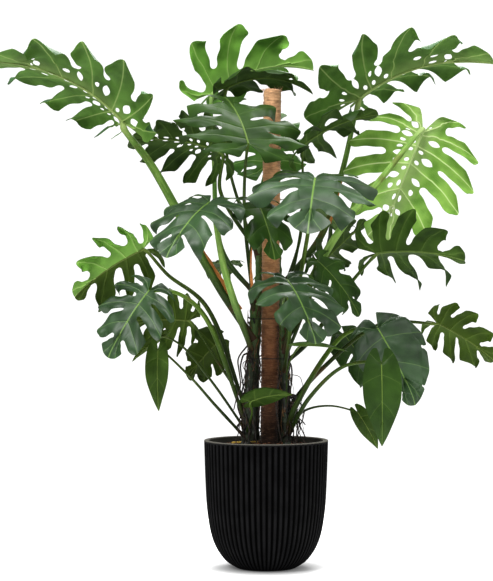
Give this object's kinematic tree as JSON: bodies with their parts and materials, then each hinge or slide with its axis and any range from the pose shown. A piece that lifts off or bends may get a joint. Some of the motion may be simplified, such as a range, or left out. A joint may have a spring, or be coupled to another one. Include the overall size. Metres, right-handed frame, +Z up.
{
  "type": "potted swiss cheese plant",
  "caption": "Swiss cheese plant with split and holed leaves on long petioles, climbing a coir pole in a matt black ribbed pot.",
  "frame": {"origin": "middle of the flat foot under the pot, on the floor", "axes": "+Z up along the pot, -Y towards the side that faces the room, +X to the right as seen from there"},
  "size_m": [1.4172, 0.9332, 1.547],
  "materials": {
    "pot_black": "matt black, ribbed",
    "potting_mix": "dark crumbly potting mix",
    "coir": "wound brown coconut fibre",
    "core": "plain pole inside the coir",
    "stem": "black-green, ringed",
    "wire": "dark coated wire",
    "dry_sheath": "dried papery brown",
    "dry_stalk": "dried mustard yellow",
    "leaf_holed": "satin leaf, mid green, seen from below",
    "leaf_bright": "satin leaf, bright green",
    "leaf_lime": "satin leaf, lime green with pale veins",
    "leaf_dark": "satin leaf, dark green",
    "leaf_glossy": "glossy leaf, blue-green upper face",
    "leaf_olive": "matt leaf, olive underside",
    "leaf_mid": "satin leaf, mid green"
  },
  "bodies": {
    "root": {"pot": "pot_black", "soil": "potting_mix", "coir_wrap": "coir", "pole_core": "core", "stem_left": "stem", "stem_right": "stem", "stem_rear_left": "stem", "stem_rear_right": "stem", "tie_1": "wire", "tie_2": "wire", "sheath_1": "dry_sheath", "sheath_2": "dry_sheath", "sheath_3": "dry_sheath", "fallen_stalk": "dry_stalk", "leaf_01": "leaf_holed", "leaf_02": "leaf_bright", "leaf_03": "leaf_holed", "leaf_04": "leaf_lime", "leaf_05": "leaf_dark", "leaf_06": "leaf_dark", "leaf_07": "leaf_dark", "leaf_08": "leaf_glossy", "leaf_09": "leaf_glossy", "leaf_10": "leaf_dark", "leaf_11": "leaf_olive", "leaf_12": "leaf_glossy", "leaf_13": "leaf_olive", "leaf_14": "leaf_olive", "leaf_15": "leaf_olive", "leaf_16": "leaf_mid", "leaf_17": "leaf_glossy", "leaf_18": "leaf_dark", "leaf_19": "leaf_dark", "leaf_20": "leaf_olive", "leaf_21": "leaf_glossy", "leaf_22": "leaf_mid", "leaf_23": "leaf_olive", "leaf_24": "leaf_dark", "leaf_25": "leaf_dark", "leaf_26": "leaf_bright", "leaf_27": "leaf_dark", "leaf_28": "leaf_mid", "leaf_29": "leaf_dark", "leaf_30": "leaf_dark", "leaf_31": "leaf_dark", "leaf_32": "leaf_olive"}
  },
  "joints": []
}
